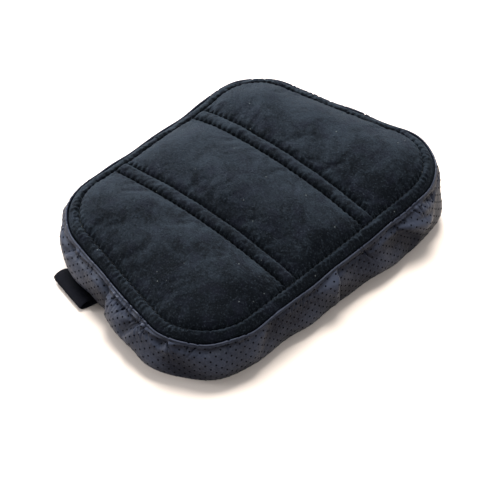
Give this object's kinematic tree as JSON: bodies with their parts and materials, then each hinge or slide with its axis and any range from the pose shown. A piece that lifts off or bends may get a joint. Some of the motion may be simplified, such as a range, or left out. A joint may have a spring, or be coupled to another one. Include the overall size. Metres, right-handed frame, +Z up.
{
  "type": "armrest pad",
  "caption": "Quilted suede armrest pad with perforated leatherette sides, a foam core, a recessed side zip, and an elastic strap whose slack loops show at the short sides.",
  "frame": {"origin": "middle of the pad's footprint, on the surface it rests on", "axes": "+Y along the pad's length, +X from the narrow long side (with the zip) to the wide long side, +Z up"},
  "size_m": [0.1772, 0.2456, 0.0572],
  "materials": {
    "suede": "black microfibre suede with a short nap",
    "leatherette": "dark grey leatherette, fine grain, perforated",
    "elastic": "black woven elastic webbing",
    "thread": "black polyester thread",
    "backing": "thin grey backing fabric",
    "memory_foam": "soft cream memory foam",
    "support_foam": "firm grey-blue foam",
    "base_cloth": "black woven base cloth",
    "zip_tape": "black herringbone tape",
    "zip_nylon": "black nylon coil",
    "slider_metal": "black enamelled metal"
  },
  "bodies": {
    "pad": {"panel_near": "suede", "panel_middle": "suede", "panel_far": "suede", "channel_strip_near": "suede", "channel_strip_far": "suede", "edge_band": "suede", "quilt_backing": "backing", "foam_comfort_layer": "memory_foam", "foam_base_layer": "support_foam", "gusset_near": "leatherette", "gusset_far": "leatherette", "zip_gusset_upper": "leatherette", "zip_gusset_lower": "leatherette", "base_panel": "base_cloth", "strap_run": "elastic", "strap_tail_near": "elastic", "strap_tail_far": "elastic", "strap_tack_near": "thread", "strap_tack_far": "thread", "zip_tape_upper": "zip_tape", "zip_tape_lower": "zip_tape", "zip_teeth_upper": "zip_nylon", "zip_teeth_lower": "zip_nylon", "zip_stop_top": "zip_nylon", "zip_stop_bottom": "zip_nylon"},
    "zip_slider": {"zip_slider_front": "slider_metal", "zip_slider_back": "slider_metal"},
    "zip_pull": {"zip_pull": "slider_metal"},
    "loop_near": {"strap_loop_near": "elastic"},
    "loop_far": {"strap_loop_far": "elastic"}
  },
  "joints": [
    {"name": "zip_slide", "type": "slide", "parent": "pad", "child": "zip_slider", "axis": [0, -1, 0], "range_m": [0, 0.086]},
    {"name": "zip_pull_swing", "type": "hinge", "parent": "zip_slider", "child": "zip_pull", "pos_m": [-0.0872, 0.044, 0.0165], "axis": [0, 0, -1], "range_deg": [0, 160]},
    {"name": "loop_near_lift", "type": "hinge", "parent": "pad", "child": "loop_near", "pos_m": [-0.04552, -0.10197, 0.00945], "axis": [-0.9763, 0.2164, 0], "range_deg": [0, 45]},
    {"name": "loop_far_lift", "type": "hinge", "parent": "pad", "child": "loop_far", "pos_m": [-0.04552, 0.10197, 0.00945], "axis": [0.9763, 0.2164, 0], "range_deg": [0, 45]}
  ]
}
